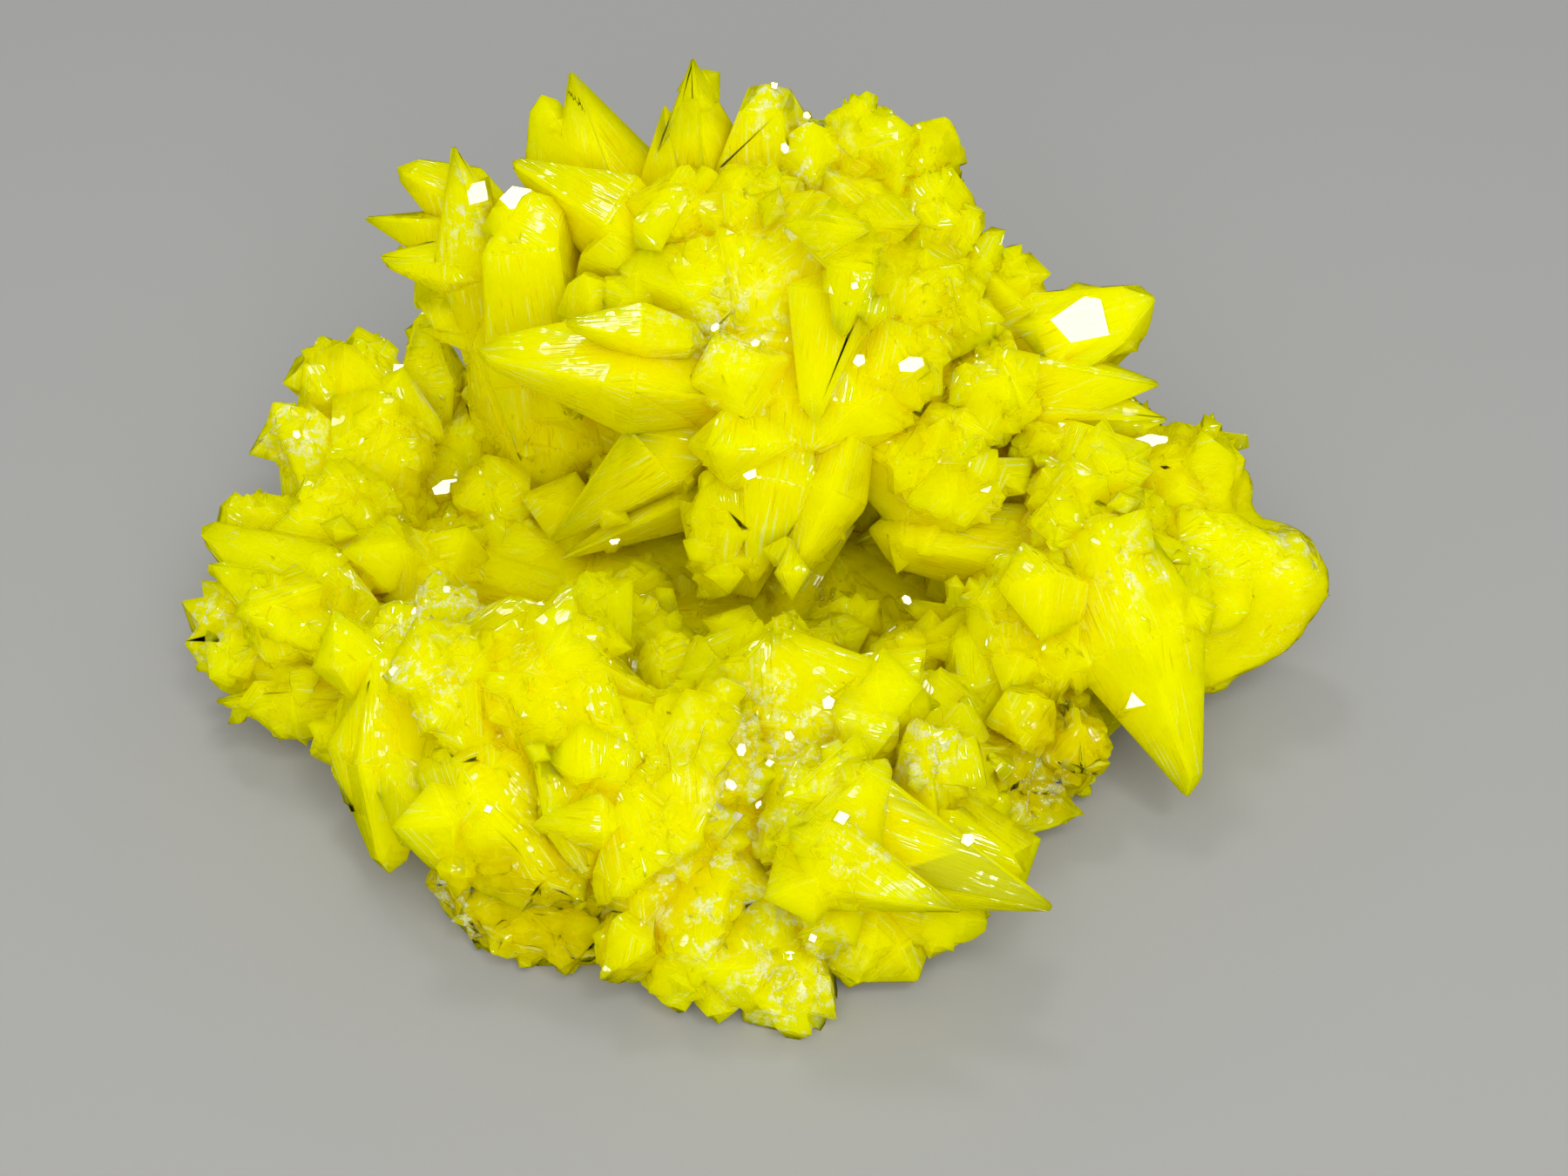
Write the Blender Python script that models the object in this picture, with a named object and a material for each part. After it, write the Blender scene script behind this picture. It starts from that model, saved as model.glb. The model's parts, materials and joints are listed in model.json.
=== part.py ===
"""Native sulfur specimen: one cluster of pyramidal crystals grown together on a massive base.

The frame is +Z up with the origin in the middle of the flat rest face. +X is the specimen's
right and -Y its front. Lengths in the tables are millimetres and become metres in one place.
"""
import math
import random
from dataclasses import dataclass

import bmesh
import bpy
from mathutils import Matrix, Vector, noise

# Driving dimensions
MM = 0.001
SEED = 16
SLENDER = 1.05              # height over width of a sharp tip: sulfur's {111} faces meet at 51 degrees
SHALLOW_RISE = 2.0 * SLENDER / 3.0  # its {113} faces rise a third as fast as those {111} faces
BEVEL_OFFSET = 1.1          # how far the {011} bevels stand off, against the side faces
BEVELLED_FROM = 16.0        # width from which a crystal has those bevels
BODY_TAPER = 2.2            # a body behind its widest section would close this many lengths back
REAR_REACH = 0.15           # the far end's shallow faces meet this far past the root, over the width
FACE_JITTER = 0.06          # uneven growth of a crystal's faces, as a share of their distance
MERGED_CORNERS = 0.03       # corners of a crystal that are nearer than this are one corner
LUMP_ROUGHNESS = 0.16       # height of the lumps' unevenness, as a share of their radius
LUMP_WAVES = 2.3            # how closely that unevenness is spaced, over a lump of radius 1
LUMP_SUBDIVISIONS = 2
CUT_CUBE = 4.0              # side of the cube a crystal is cut from, against its length
KEPT_TRIANGLES = 0.80       # share left after the slivers where crystals cross are collapsed
REST_DEPTH = 30.0           # the block below the rest plane that cuts the base off flat
REST_SPAN = 200.0
SIDE_SIGNS = ((1, 1), (1, -1), (-1, 1), (-1, -1))

# The massive sulfur that everything grows from: name, centre, radii
LUMPS = (
    ("mound_left", (-27, 37, 19), (14, 10, 25)),
    ("mound_middle", (-8, 35, 23), (19, 13, 28)),
    ("mound_right", (14, 34, 19), (17, 13, 25)),
    ("brow", (1, 27, 42), (17, 10, 12)),
    ("overhang", (3, 21, 34), (18, 12, 10)),
    ("right_shoulder", (32, 22, 15), (18, 12, 17)),
    ("right_lobe", (48, 5, 12), (12, 8, 8)),
    ("right_middle", (29, 1, 12), (11, 10, 11)),
    ("right_neck", (36, 7, 19), (10, 9, 11)),
    ("left_lobe_back", (-53, 25, 8), (9, 16, 9)),
    ("left_lobe_front", (-54, 2, 8), (11, 11, 9)),
    ("front_left", (-36, -16, 10), (16, 12, 13)),
    ("front_middle", (-14, -27, 11), (19, 13, 14)),
    ("front_right", (6, -29, 8), (15, 11, 9)),
    ("right_base", (26, -9, 5), (12, 10, 6)),
    ("inner_slope", (2, -15, 9), (22, 12, 10)),
    ("granular_base", (-22, -26, 4), (18, 15, 9)),
    ("left_saddle", (-38, 17, 5), (18, 15, 7)),
    ("hollow_floor", (-4, 8, 4), (46, 34, 6)),
)


@dataclass(frozen=True)
class Crystal:
    """One crystal: its tip, the buried middle of its body, and its width, in millimetres.

    flat is its thickness over its width, roll turns it about its own axis in degrees,
    and blunt is the share of the sharp tip that the shallow faces cut away, or 0 for none.
    """

    name: str
    tip: tuple
    root: tuple
    width: float
    flat: float = 0.85
    roll: float = 0.0
    blunt: float = 0.0
    slender: float = SLENDER


CREST = (
    Crystal("summit", (-10, 39, 66), (-9, 44, 38), 16, roll=20, slender=1.3),
    Crystal("summit_side", (-14, 41, 59), (-11, 44, 36), 15, roll=50),
    Crystal("left_spire", (-25, 45, 61), (-19, 44, 36), 18, 1.0, 30),
    Crystal("behind_left_spire", (-29, 47, 57), (-25, 46, 38), 10, roll=40, blunt=0.3),
    Crystal("frosted_peak", (-2, 39, 63), (-2, 44, 38), 14, roll=35, blunt=0.3),
    Crystal("ridge_a", (3, 37, 59), (4, 42, 38), 14, roll=10, blunt=0.5),
    Crystal("ridge_b", (9, 39, 61), (5, 42, 38), 16, roll=30, blunt=0.3),
    Crystal("ridge_c", (13, 38, 59), (9, 42, 38), 14, roll=60, blunt=0.4),
    Crystal("ridge_d", (19, 40, 58), (11, 41, 38), 14, roll=0, blunt=0.3),
    Crystal("crest_nub_a", (19, 35, 54), (14, 38, 36), 14, roll=25, blunt=0.5),
    Crystal("crest_nub_b", (23, 32, 50), (14, 37, 38), 13, roll=45, blunt=0.2),
    Crystal("crest_nub_c", (25, 32, 47), (19, 35, 34), 9, roll=15, blunt=0.4),
    Crystal("crest_nub_d", (28, 31, 45), (24, 33, 32), 10, roll=70, blunt=0.3),
    Crystal("upper_blunt", (-32, 38, 53), (-14, 32, 45), 15, 0.8, 30, 0.12),
    Crystal("left_prism", (-30, 31, 53), (-29, 33, 10), 17, 0.75, 70, 0.72, 5.0),
    Crystal("prism_spike", (-38, 35, 57), (-35, 36, 24), 12, 1.0, 20, 0.0, 1.2),
    Crystal("up_left_a", (-46, 41, 51), (-33, 38, 44), 11, roll=30, blunt=0.25),
    Crystal("up_left_b", (-50, 37, 46), (-37, 37, 42), 9, roll=60),
    Crystal("up_left_c", (-48, 33, 43), (-34, 35, 40), 9, roll=10, blunt=0.15),
    Crystal("up_left_d", (-45, 36, 35), (-35, 36, 36), 8, roll=45),
)
MOUND_FRONT = (
    Crystal("plate_a", (10, 22, 47), (-8, 28, 49), 19, 0.6, 70, 0.1),
    Crystal("plate_b", (9, 25, 44), (24, 26, 37), 13, 0.8, 35, 0.3),
    Crystal("upper_face_a", (-3, 27, 57), (-5, 38, 40), 17, roll=20, blunt=0.45),
    Crystal("upper_face_b", (9, 26, 53), (8, 38, 38), 17, roll=55, blunt=0.4),
    Crystal("upper_face_c", (-13, 28, 55), (-10, 38, 40), 17, roll=5, blunt=0.5),
    Crystal("upper_face_d", (-20, 28, 50), (-16, 38, 34), 14, roll=35, blunt=0.4),
    Crystal("perch_a", (-23, 25, 46), (-21, 29, 30), 9, roll=30, blunt=0.4),
    Crystal("perch_b", (-17, 24, 47), (-16, 29, 31), 10, roll=0, blunt=0.45),
    Crystal("centre_left", (-35, 17, 41), (-4, 17, 36), 20, 0.75, 25, 0.12),
    Crystal("down_point", (3, 8, 38), (6, 20, 47), 18, roll=45, blunt=0.15),
    Crystal("middle_face_a", (14, 12, 43), (10, 26, 32), 18, roll=15, blunt=0.5),
    Crystal("middle_face_b", (25, 12, 39), (22, 26, 27), 17, roll=65, blunt=0.5),
    Crystal("middle_face_c", (-7, 9, 44), (-3, 22, 33), 17, roll=30, blunt=0.45),
    Crystal("middle_face_d", (17, 20, 47), (15, 32, 34), 15, roll=40, blunt=0.5),
    Crystal("mirror_faced", (43, 24, 43), (24, 30, 28), 17, 0.9, 10, 0.3),
    Crystal("shoulder_a", (43, 16, 37), (26, 24, 30), 14, roll=20),
    Crystal("shoulder_b", (44, 13, 34), (28, 22, 27), 13, roll=50),
    Crystal("shoulder_c", (54, 13, 28), (38, 19, 17), 15, roll=35, blunt=0.4),
    Crystal("shoulder_d", (56, 14, 25), (42, 17, 16), 12, roll=70, blunt=0.4),
    Crystal("shoulder_face", (38, 6, 34), (33, 18, 20), 18, roll=10, blunt=0.5),
)
OVERHANG = (
    Crystal("hanging_a", (-4, 3, 18), (0, 14, 36), 14, 0.7, 20, 0.1),
    Crystal("hanging_b", (0, 1, 18), (8, 13, 33), 14, 0.7, 60, 0.12),
    Crystal("hanging_c", (-9, 4, 15), (-6, 12, 30), 11, roll=30, blunt=0.15),
    Crystal("overhang_face", (-8, 5, 36), (-1, 17, 29), 16, roll=15, blunt=0.4),
    Crystal("long_blade", (-28, 14, 15), (-6, 17, 33), 15, 0.6, 80, 0.0, 1.3),
    Crystal("low_blade", (-27, 13, 13), (0, 22, 24), 12, 0.7, 35, 0.0, 1.3),
    Crystal("striated_plate", (25, 6, 27), (8, 16, 30), 17, 0.6, 60, 0.4),
    Crystal("shelf", (10, 9, 21), (36, 6, 18), 15, 0.8, 30, 0.6, 3.0),
    Crystal("shelf_spike", (21, 3, 14), (29, 7, 21), 7, roll=50),
)
RIGHT_SIDE = (
    Crystal("thumb", (66, 6, 15), (42, 8, 15), 17.5, 0.9, 40, 0.65),
    Crystal("thumb_top", (59, 6, 21), (50, 8, 10), 14, 0.8, 20, 0.5),
    Crystal("thumb_spike", (61, 8, 24), (57, 7, 14), 7, roll=15),
    Crystal("triangle_faced", (50, 3, 26), (45, 11, 14), 14, roll=0, blunt=0.4),
    Crystal("right_blade", (46, -20, 7), (35, 1, 29), 16, 0.85, 25, 0.12, 1.3),
    Crystal("under_thumb_a", (51, 1, 13), (40, 5, 13), 10, roll=45, blunt=0.4),
    Crystal("under_thumb_b", (51, 1, 7), (40, 5, 9), 10, roll=10, blunt=0.3),
    Crystal("right_knob", (28, -6, 27), (28, 4, 14), 15, roll=50, blunt=0.5),
    Crystal("right_pair_a", (26, -13, 12), (27, -2, 24), 10, roll=30, blunt=0.15),
    Crystal("right_pair_b", (29, -14, 11), (32, -2, 24), 10, roll=60, blunt=0.15),
    Crystal("right_base_chunk", (37, -13, 3), (25, -8, 7), 17, roll=20, blunt=0.6),
    Crystal("right_base_top", (30, -13, 13), (27, -8, 1), 14, roll=50, blunt=0.4),
)
LEFT_SIDE = (
    Crystal("left_lobe_a", (-59, 41, 26), (-53, 32, 8), 12, roll=20, blunt=0.3),
    Crystal("left_lobe_b", (-54, 42, 27), (-50, 34, 8), 11, roll=55, blunt=0.4),
    Crystal("left_lobe_c", (-46, 44, 28), (-45, 38, 10), 11, roll=35, blunt=0.2),
    Crystal("left_lobe_d", (-63, 30, 24), (-54, 27, 8), 14, roll=15, blunt=0.3),
    Crystal("left_lobe_top", (-50, 30, 25), (-50, 28, 8), 17, roll=40, blunt=0.7),
    Crystal("left_slope_a", (-67, 17, 18), (-56, 19, 6), 14, roll=60, blunt=0.4),
    Crystal("left_slope_b", (-54, 14, 25), (-54, 14, 6), 18, roll=25, blunt=0.55),
    Crystal("feathered", (-69, 11, 20), (-48, -2, 14), 18, 0.8, 30, 0.12),
    Crystal("left_edge", (-70, -1, 12), (-56, 2, 8), 15, roll=45, blunt=0.55),
    Crystal("left_foot", (-60, -8, 4), (-50, 1, 8), 15, roll=10, blunt=0.5),
    Crystal("lying_left", (-55, 7, 20), (-27, 12, 8), 12, 0.8, 40, 0.2),
    Crystal("hollow_stub_a", (-35, 25, 16), (-34, 24, 2), 11, roll=35, blunt=0.3),
    Crystal("hollow_stub_b", (-28, 22, 14), (-27, 22, 1), 10, roll=5, blunt=0.35),
    Crystal("hollow_stub_c", (-40, 16, 15), (-37, 16, 1), 11, roll=65, blunt=0.4),
    Crystal("floor_stub_a", (-18, 9, 15), (-17, 10, 0), 12, roll=25, blunt=0.4),
    Crystal("floor_stub_b", (14, -4, 16), (12, -1, 0), 13, roll=50, blunt=0.45),
    Crystal("floor_stub_c", (7, 4, 15), (7, 6, 0), 12, roll=5, blunt=0.4),
    Crystal("floor_stub_d", (20, -16, 17), (18, -15, 1), 12, roll=70, blunt=0.4),
    Crystal("floor_stub_e", (1, 12, 14), (1, 13, 0), 12, roll=40, blunt=0.5),
    Crystal("floor_stub_f", (-6, -2, 17), (-6, -3, 2), 11, roll=15, blunt=0.45),
)
FRONT = (
    Crystal("front_left_blade", (-43, -30, 5), (-43, -14, 24), 15, 0.8, 20, 0.15),
    Crystal("front_left_block", (-53, -17, 10), (-40, -12, 13), 12, roll=50, blunt=0.5),
    Crystal("wide_plate", (-21, -40, 12), (-36, -24, 20), 20, 0.6, 35, 0.3),
    Crystal("shield_tip", (-32, -30, 20), (-37, -18, 29), 16, roll=65, blunt=0.15),
    Crystal("front_round", (-46, -19, 15), (-41, -9, 24), 15, roll=15, blunt=0.5),
    Crystal("big_front", (-16, -34, 23), (-33, -13, 26), 20, 0.7, 50, 0.2),
    Crystal("front_point", (-19, -41, 13), (-6, -27, 24), 15, roll=30, blunt=0.2),
    Crystal("front_drop_a", (-15, -43, 4), (-14, -32, 18), 13, roll=5, blunt=0.3),
    Crystal("front_drop_b", (-11, -46, 3), (-6, -33, 17), 11, roll=55, blunt=0.3),
    Crystal("foot_a", (-7, -47, 1), (-6, -36, 9), 8, roll=25, blunt=0.4),
    Crystal("foot_b", (1, -48, 1), (1, -36, 9), 8, roll=40, blunt=0.4),
    Crystal("foot_c", (14, -43, 3), (6, -33, 8), 13, roll=15, blunt=0.5),
    Crystal("arrow_right", (27, -44, 16), (0, -33, 18), 19, 0.65, 75, 0.0, 1.2),
    Crystal("under_arrow", (21, -41, 9), (8, -34, 9), 12, roll=35, blunt=0.2),
    Crystal("behind_arrow", (25, -38, 15), (12, -32, 16), 11, roll=0, blunt=0.2),
    Crystal("front_top_a", (-7, -31, 29), (-11, -24, 10), 19, roll=20, blunt=0.55),
    Crystal("front_top_b", (-38, -8, 28), (-36, -12, 10), 16, roll=60, blunt=0.5),
    Crystal("front_top_c", (-22, -19, 30), (-24, -20, 10), 16, roll=10, blunt=0.5),
    Crystal("front_top_d", (3, -34, 25), (2, -28, 6), 16, roll=45, blunt=0.55),
    Crystal("inner_rim_a", (-20, -4, 26), (-26, -15, 12), 13, roll=35, blunt=0.35),
    Crystal("inner_rim_b", (-13, -11, 24), (-10, -20, 10), 13, roll=65, blunt=0.45),
    Crystal("inner_ball", (-16, 0, 18), (-16, -2, 4), 9, roll=10, blunt=0.6),
    Crystal("fan_right", (16, -22, 24), (-9, -21, 20), 19, 0.65, 60, 0.2),
    Crystal("fan_up", (1, -9, 25), (-3, -22, 13), 16, 0.7, 25, 0.25),
    Crystal("frosted_stand", (14, -28, 27), (17, -31, 6), 12, 0.7, 50, 0.25),
    Crystal("rim_a", (25, -25, 9), (15, -26, 12), 11, roll=30, blunt=0.4),
    Crystal("rim_b", (28, -22, 4), (18, -19, 8), 11, roll=60, blunt=0.4),
)
# The far side, with the same habit
BACK = (
    Crystal("back_a", (-16, 56, 44), (-12, 38, 28), 19, roll=20, blunt=0.2),
    Crystal("back_b", (6, 55, 40), (4, 38, 26), 18, roll=50, blunt=0.15),
    Crystal("back_c", (-34, 54, 34), (-27, 38, 22), 17, roll=35, blunt=0.15),
    Crystal("back_d", (26, 50, 32), (17, 36, 22), 18, roll=10, blunt=0.25),
    Crystal("back_e", (-4, 58, 24), (-4, 40, 19), 18, roll=65, blunt=0.3),
    Crystal("back_f", (17, 54, 18), (14, 38, 12), 17, roll=25, blunt=0.25),
    Crystal("back_g", (-24, 56, 15), (-20, 38, 12), 18, roll=45, blunt=0.3),
    Crystal("back_h", (40, 40, 22), (31, 24, 14), 18, roll=60, blunt=0.2),
    Crystal("back_i", (-44, 48, 14), (-40, 32, 10), 16, roll=15, blunt=0.2),
    Crystal("back_j", (50, 28, 12), (37, 18, 11), 16, roll=40, blunt=0.25),
)
CRYSTALS = CREST + MOUND_FRONT + OVERHANG + RIGHT_SIDE + LEFT_SIDE + FRONT + BACK

# Smaller crystals in parallel growth on the sides of the wide ones
PARALLEL_FROM = 18.0        # width from which a crystal carries one
PARALLEL_SCALE = (0.45, 0.65)
PARALLEL_SIDE = 0.34        # how far off the axis they stand, as a share of the width
PARALLEL_BACK = (0.3, 0.7)  # how far behind the tip, as a share of the width
PARALLEL_LENGTH = 1.6       # tip to root, as a share of its own width

# Small crystals that line the lumps
SMALL_PER_LUMP = 4
SMALL_WIDTH = (8.0, 12.0)
SMALL_REACH = 0.55          # how far a tip stands off the lump, as a share of the width
SMALL_LENGTH = 1.8          # tip to root, as a share of the width
SMALL_FLAT = (0.7, 0.95)
SMALL_BLUNT = (0.0, 0.0, 0.3, 0.5)
SMALL_UPWARD = 0.3          # more of them stand on the upper side than on the lower
SMALL_LEAN = 0.4
SMALL_DROOP = -0.2          # none points down more steeply than this share of its length
SMALL_LOWEST = 3.0          # none stands on the part of a lump nearer the rest plane than this
BARE_LUMPS = ("hollow_floor", "overhang", "brow", "granular_base")


def cut_away(bm, normal, point):
    """Cut a convex bmesh with a plane and keep what lies behind it, closed."""
    whole = bm.verts[:] + bm.edges[:] + bm.faces[:]
    bmesh.ops.bisect_plane(bm, geom=whole, plane_co=point, plane_no=normal, clear_outer=True)
    bmesh.ops.remove_doubles(bm, verts=bm.verts[:], dist=MERGED_CORNERS)
    rim = [edge for edge in bm.edges if edge.is_boundary]
    bmesh.ops.holes_fill(bm, edges=rim)


def chance(name):
    """Return the seeded random numbers that belong to one crystal or lump."""
    return random.Random(f"{SEED} {name}")


def crystal_mesh(crystal, length):
    """Return a bmesh of one crystal, its tip at the origin and its body along -Z."""
    rng = chance(crystal.name)
    half_x = crystal.width / 2.0
    half_y = half_x * crystal.flat
    apex = crystal.slender * crystal.width
    height = apex * (1.0 - crystal.blunt)
    behind = max(length - height, 1.0)
    lean = 1.0 / SHALLOW_RISE
    normals = []
    for sx, sy in SIDE_SIGNS:
        normals.append((Vector((sx / half_x, sy / half_y, 1.0 / apex)), 1.0))
        normals.append((Vector((sx / half_x, sy / half_y, -1.0 / behind / BODY_TAPER)), 1.0))
        if crystal.blunt > 0.0:
            shallow = Vector((sx, sy / crystal.flat, lean)) / (lean * height)
            normals.append((shallow, 1.0))
    if crystal.width >= BEVELLED_FROM:
        for side in (1, -1):
            normals.append((Vector((0.0, side / half_y, 1.0 / apex)), BEVEL_OFFSET))
    bm = bmesh.new()
    bmesh.ops.create_cube(bm, size=CUT_CUBE * max(crystal.width, length))
    for normal, offset in normals:
        grown = offset * (1.0 + rng.uniform(-FACE_JITTER, FACE_JITTER))
        cut_away(bm, normal, normal.normalized() * (grown / normal.length))
    rear = Vector((0.0, 0.0, -behind - crystal.width * REAR_REACH))
    for sx, sy in SIDE_SIGNS:
        cut_away(bm, Vector((sx, sy / crystal.flat, -lean)), rear)
    bmesh.ops.recalc_face_normals(bm, faces=bm.faces[:])
    top = max(vert.co.z for vert in bm.verts)
    bmesh.ops.translate(bm, vec=(0.0, 0.0, -top), verts=bm.verts[:])
    return bm


def add_object(name, bm, matrix, collection):
    """Make an object of a bmesh that is in millimetres, placed by a matrix in millimetres."""
    bmesh.ops.transform(bm, matrix=Matrix.Scale(MM, 4) @ matrix, verts=bm.verts[:])
    mesh = bpy.data.meshes.new(name)
    bm.to_mesh(mesh)
    bm.free()
    obj = bpy.data.objects.new(name, mesh)
    collection.objects.link(obj)
    return obj


def as_operand(obj):
    """Mark an object as a hidden operand of the cluster's Booleans."""
    obj.hide_render = True
    obj.display_type = "WIRE"
    return obj


def add_crystal(crystal, collection):
    """Add one crystal that points from its root to its tip."""
    tip = Vector(crystal.tip)
    axis = tip - Vector(crystal.root)
    bm = crystal_mesh(crystal, axis.length)
    turn = axis.to_track_quat("Z", "Y").to_matrix().to_4x4()
    spin = Matrix.Rotation(math.radians(crystal.roll), 4, "Z")
    obj = add_object(crystal.name, bm, Matrix.Translation(tip) @ turn @ spin, collection)
    return as_operand(obj)


def parallel_crystals(crystal):
    """Return the smaller crystal with the same axis that a wide crystal carries on its side."""
    if crystal.width < PARALLEL_FROM:
        return []
    rng = chance(crystal.name + " parallel")
    tip = Vector(crystal.tip)
    axis = (tip - Vector(crystal.root)).normalized()
    side = axis.orthogonal().normalized()
    turn = Matrix.Rotation(rng.uniform(0.0, 2.0 * math.pi), 3, axis)
    offset = turn @ side * (crystal.width * PARALLEL_SIDE)
    start = tip + offset - axis * (crystal.width * rng.uniform(*PARALLEL_BACK))
    width = crystal.width * rng.uniform(*PARALLEL_SCALE)
    root = start - axis * width * PARALLEL_LENGTH
    return [Crystal(f"{crystal.name}_parallel", tuple(start), tuple(root), width,
                    crystal.flat, crystal.roll, crystal.blunt, crystal.slender)]


def add_lump(name, centre, radii, collection):
    """Add one uneven lump of massive sulfur."""
    bm = bmesh.new()
    bmesh.ops.create_icosphere(bm, subdivisions=LUMP_SUBDIVISIONS, radius=1.0)
    for vert in bm.verts:
        bump = noise.noise(vert.co * LUMP_WAVES + Vector(centre)) * LUMP_ROUGHNESS
        vert.co *= 1.0 + bump
    size = Matrix.Diagonal((*radii, 1.0))
    obj = add_object(name, bm, Matrix.Translation(centre) @ size, collection)
    return as_operand(obj)


def inside_other_lump(point, name):
    """Return whether a point lies inside any lump but the named one."""
    for other, centre, radii in LUMPS:
        if other == name:
            continue
        offset = [(point[i] - centre[i]) / radii[i] for i in range(3)]
        if sum(value * value for value in offset) < 1.0:
            return True
    return False


def small_crystals():
    """Return seeded small crystals that stand on the open skin of the lumps."""
    found = []
    for name, centre, radii in LUMPS:
        if name in BARE_LUMPS:
            continue
        rng = chance(name)
        placed = 0
        while placed < SMALL_PER_LUMP:
            direction = Vector((rng.gauss(0, 1), rng.gauss(0, 1), rng.gauss(SMALL_UPWARD, 1)))
            direction.normalize()
            skin = Vector([centre[i] + radii[i] * direction[i] for i in range(3)])
            if skin.z < SMALL_LOWEST or inside_other_lump(skin, name):
                continue
            outward = Vector([direction[i] / radii[i] for i in range(3)]).normalized()
            lean = Vector((rng.gauss(0, 1), rng.gauss(0, 1), rng.gauss(0, 1))) * SMALL_LEAN
            axis = (outward + lean).normalized()
            if axis.z < SMALL_DROOP:
                continue
            width = rng.uniform(*SMALL_WIDTH)
            tip = skin + axis * (width * SMALL_REACH)
            root = tip - axis * (width * SMALL_LENGTH)
            placed += 1
            found.append(Crystal(f"{name}_small_{placed}", tuple(tip), tuple(root), width,
                                 rng.uniform(*SMALL_FLAT), rng.uniform(0, 90),
                                 rng.choice(SMALL_BLUNT)))
    return found


def sulfur_material():
    """Return the plain yellow of native sulfur."""
    material = bpy.data.materials.new("native_sulfur")
    material.use_nodes = True
    shader = material.node_tree.nodes["Principled BSDF"]
    shader.inputs["Base Color"].default_value = (0.83, 0.76, 0.004, 1.0)
    shader.inputs["Roughness"].default_value = 0.3
    shader.inputs["Metallic"].default_value = 0.0
    return material


def rest_cutter(collection):
    """Add the block that cuts the underside off flat at z = 0."""
    bm = bmesh.new()
    bmesh.ops.create_cube(bm, size=1.0)
    size = Matrix.Diagonal((REST_SPAN, REST_SPAN, REST_DEPTH, 1.0))
    place = Matrix.Translation((0.0, 0.0, -REST_DEPTH / 2.0))
    return as_operand(add_object("rest_cut", bm, place @ size, collection))


def new_collection(name, parent):
    """Return a new collection under the parent."""
    collection = bpy.data.collections.new(name)
    parent.children.link(collection)
    return collection


def joined_mesh(cluster):
    """Return the cluster's mesh with its modifiers applied, without the voids sealed inside."""
    graph = bpy.context.evaluated_depsgraph_get()
    mesh = bpy.data.meshes.new_from_object(cluster.evaluated_get(graph))
    bm = bmesh.new()
    bm.from_mesh(mesh)
    left = set(bm.verts)
    bodies = []
    while left:
        front = [left.pop()]
        body = set(front)
        while front:
            for edge in front.pop().link_edges:
                for vert in edge.verts:
                    if vert in left:
                        left.remove(vert)
                        body.add(vert)
                        front.append(vert)
        bodies.append(body)
    bodies.sort(key=len)
    loose = [vert for body in bodies[:-1] for vert in body]
    bmesh.ops.delete(bm, geom=loose, context="VERTS")
    bm.to_mesh(mesh)
    bm.free()
    return mesh


def main():
    """Build the cluster: lumps and crystals joined in one solid, and cut off flat below."""
    for obj in list(bpy.data.objects):
        bpy.data.objects.remove(obj, do_unlink=True)
    root = bpy.context.scene.collection
    specimen = new_collection("sulfur_crystal_specimen", root)
    grown = new_collection("grown_on", root)
    cutters = new_collection("cutters", root)

    for name, centre, radii in LUMPS:
        add_lump(name, centre, radii, grown)
    for crystal in CRYSTALS:
        add_crystal(crystal, grown)
        for parallel in parallel_crystals(crystal):
            add_crystal(parallel, grown)
    for crystal in small_crystals():
        add_crystal(crystal, grown)

    first = grown.objects[LUMPS[0][0]]
    cluster = bpy.data.objects.new("sulfur_crystal_cluster", first.data.copy())
    bpy.data.objects.remove(first, do_unlink=True)
    specimen.objects.link(cluster)
    cluster.data.materials.append(sulfur_material())

    join = cluster.modifiers.new("grown_together", "BOOLEAN")
    join.operation = "UNION"
    join.operand_type = "COLLECTION"
    join.collection = grown

    slivers = cluster.modifiers.new("slivers_collapsed", "DECIMATE")
    slivers.ratio = KEPT_TRIANGLES

    cut = cluster.modifiers.new("flat_rest", "BOOLEAN")
    cut.operation = "DIFFERENCE"
    cut.object = rest_cutter(cutters)

    whole = joined_mesh(cluster)
    cluster.modifiers.clear()
    cluster.data = whole


main()
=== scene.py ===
"""Native sulfur specimen: a hand-sized cluster of translucent yellow crystals.

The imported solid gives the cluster's body and its large crystals. Here that body gets the growth
steps on its faces, the druse of small crystals that grows on it, its granular, worn and frosted
parts, and the finish of native sulfur. The frame is +Z up, in metres, with the front towards -Y.
"""
import json
import logging
import math
import random
from collections.abc import Iterable
from dataclasses import dataclass, field
from enum import Enum

import bmesh
import bpy
from mathutils import Matrix, Vector, noise
from mathutils.bvhtree import BVHTree

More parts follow.
